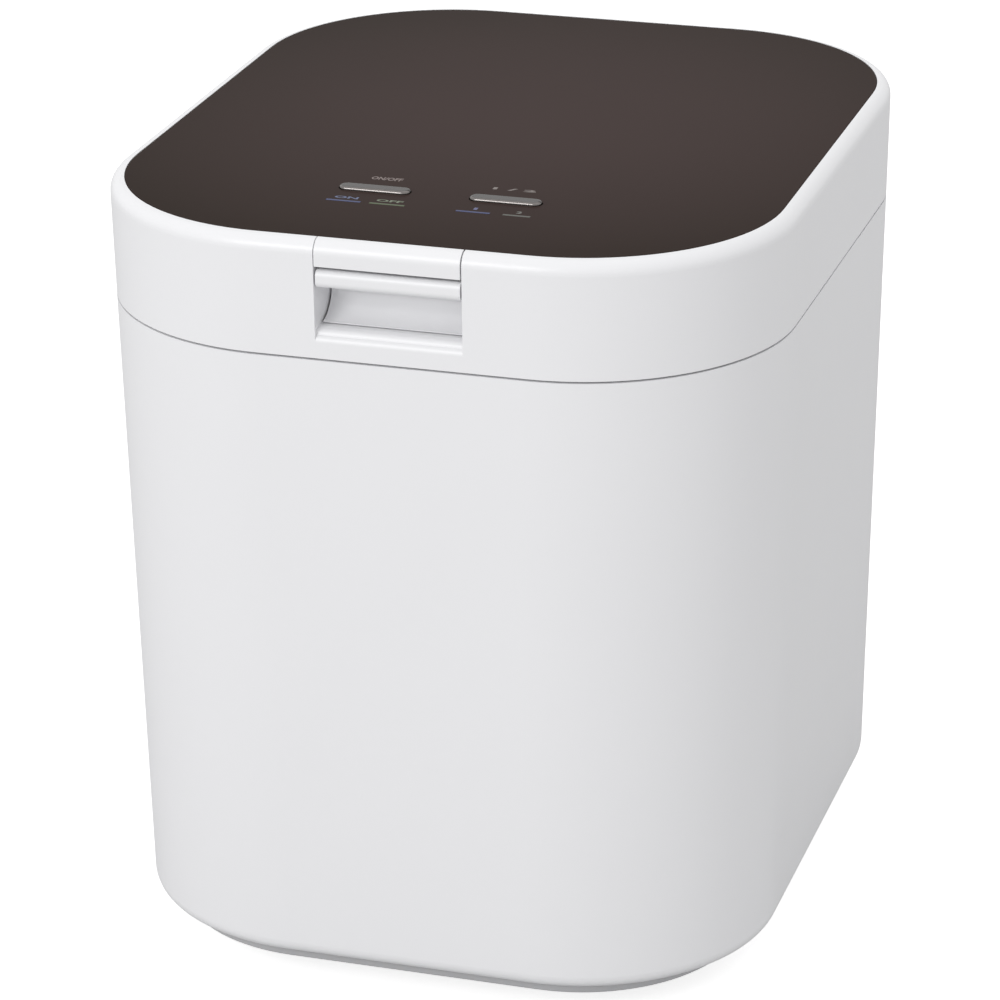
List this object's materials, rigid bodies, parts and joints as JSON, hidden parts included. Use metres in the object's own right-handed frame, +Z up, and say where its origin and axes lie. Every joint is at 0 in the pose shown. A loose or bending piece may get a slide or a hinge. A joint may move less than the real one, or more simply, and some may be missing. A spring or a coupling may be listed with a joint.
{
  "type": "electric food waste composter",
  "caption": "Counter-top food waste dryer: tapered white body, rear-hinged lid with latch and push bars, lift-out basket, lid fan and heater, rear carbon filters.",
  "frame": {"origin": "on the surface that the rubber feet stand on, under the middle of the body", "axes": "+Z up; the latch and the front face -Y; +X is to the right of someone facing the front"},
  "size_m": [0.2298, 0.2699, 0.271],
  "materials": {
    "white_plastic": "white injection-moulded plastic, satin gloss",
    "panel_plastic": "dark brown gloss sheet",
    "grey_plastic": "grey moulded plastic",
    "liner_plastic": "light grey heat-resistant plastic",
    "silver": "silver-plated push bar",
    "blue_window": "clear blue light pipe",
    "green_window": "clear green light pipe",
    "grey_window": "clear grey light pipe",
    "rubber": "black rubber",
    "silicone": "grey silicone",
    "steel": "steel",
    "zinc": "zinc-plated steel",
    "aluminium": "formed aluminium",
    "black_plastic": "black moulded plastic",
    "circuit_board": "green glass-fibre board",
    "carbon": "bonded carbon granules",
    "wire_cover": "black sleeving",
    "ceramic_part": "ceramic",
    "copper_core": "varnished core and windings"
  },
  "bodies": {
    "housing": {"base_plate": "grey_plastic", "base_screws": "zinc", "basket": "grey_plastic", "basket_handle": "steel", "board_components": "black_plastic", "body_shell": "white_plastic", "chamber_sensor": "steel", "cord_gland": "black_plastic", "cord_plate": "white_plastic", "deck_screws": "zinc", "drying_chamber": "aluminium", "exhaust_duct": "liner_plastic", "exhaust_fan_frame": "black_plastic", "filter_bay": "white_plastic", "handle_grip": "black_plastic", "heat_sink": "aluminium", "hinge_bracket": "steel", "hinge_loom": "wire_cover", "hinge_pin": "steel", "hinge_screws": "zinc", "latch_strike": "steel", "lid_sensor": "black_plastic", "power_board": "circuit_board", "rubber_feet": "rubber", "terminal_block": "ceramic_part", "top_deck": "liner_plastic", "transformer": "copper_core", "wire_loom_body": "wire_cover"},
    "lid": {"lid_shell": "white_plastic", "top_panel": "panel_plastic", "indicator_window_blue": "blue_window", "indicator_window_green": "green_window", "indicator_window_grey": "grey_window", "control_board": "circuit_board", "tact_switches": "black_plastic", "indicator_lamps": "ceramic_part", "latch_cover": "white_plastic", "latch_pin": "steel", "latch_spring": "steel", "lid_liner": "liner_plastic", "lid_gasket": "silicone", "lid_screws": "zinc", "lid_magnet": "steel", "fan_dish": "aluminium", "heater_ring": "steel", "heater_brackets": "steel", "air_grille": "aluminium", "fan_motor": "zinc", "thermal_cutouts": "steel", "wire_loom_lid": "wire_cover"},
    "latch": {"latch_lever": "white_plastic"},
    "power_bar": {"power_button": "silver"},
    "mode_bar": {"mode_button": "silver"},
    "circulation_fan": {"fan_shaft": "steel", "fan_impeller": "aluminium"},
    "exhaust_fan": {"exhaust_fan_rotor": "black_plastic"},
    "filter_left": {"filter_cassette_left": "white_plastic", "carbon_block_left": "carbon"},
    "filter_right": {"filter_cassette_right": "white_plastic", "carbon_block_right": "carbon"}
  },
  "joints": [
    {"name": "lid_hinge", "type": "hinge", "parent": "housing", "child": "lid", "pos_m": [0, 0.1305, 0.2304], "axis": [-1, 0, 0], "range_deg": [0, 88], "deforming": ["latch_strike", "hinge_loom"]},
    {"name": "latch_pivot", "type": "hinge", "parent": "lid", "child": "latch", "pos_m": [0, -0.122, 0.262], "axis": [-1, 0, 0], "range_deg": [0, 4.5], "stiffness_Nm_per_rad": 0.05, "springref_deg": -5.73, "deforming": ["latch_spring"]},
    {"name": "power_bar_press", "type": "slide", "parent": "lid", "child": "power_bar", "axis": [0, 0, -1], "range_m": [0, 0.0008], "stiffness_N_per_m": 300, "springref_m": -0.001},
    {"name": "mode_bar_press", "type": "slide", "parent": "lid", "child": "mode_bar", "axis": [0, 0, -1], "range_m": [0, 0.0008], "stiffness_N_per_m": 300, "springref_m": -0.001},
    {"name": "circulation_fan_spin", "type": "hinge", "parent": "lid", "child": "circulation_fan", "pos_m": [0, -0.018, 0.25], "axis": [0, 0, 1], "continuous": true},
    {"name": "exhaust_fan_spin", "type": "hinge", "parent": "housing", "child": "exhaust_fan", "pos_m": [0, 0.0805, 0.168], "axis": [0, 1, 0], "continuous": true},
    {"name": "filter_left_slide", "type": "slide", "parent": "housing", "child": "filter_left", "axis": [0, 1, 0], "range_m": [0, 0.06]},
    {"name": "filter_right_slide", "type": "slide", "parent": "housing", "child": "filter_right", "axis": [0, 1, 0], "range_m": [0, 0.06]}
  ]
}
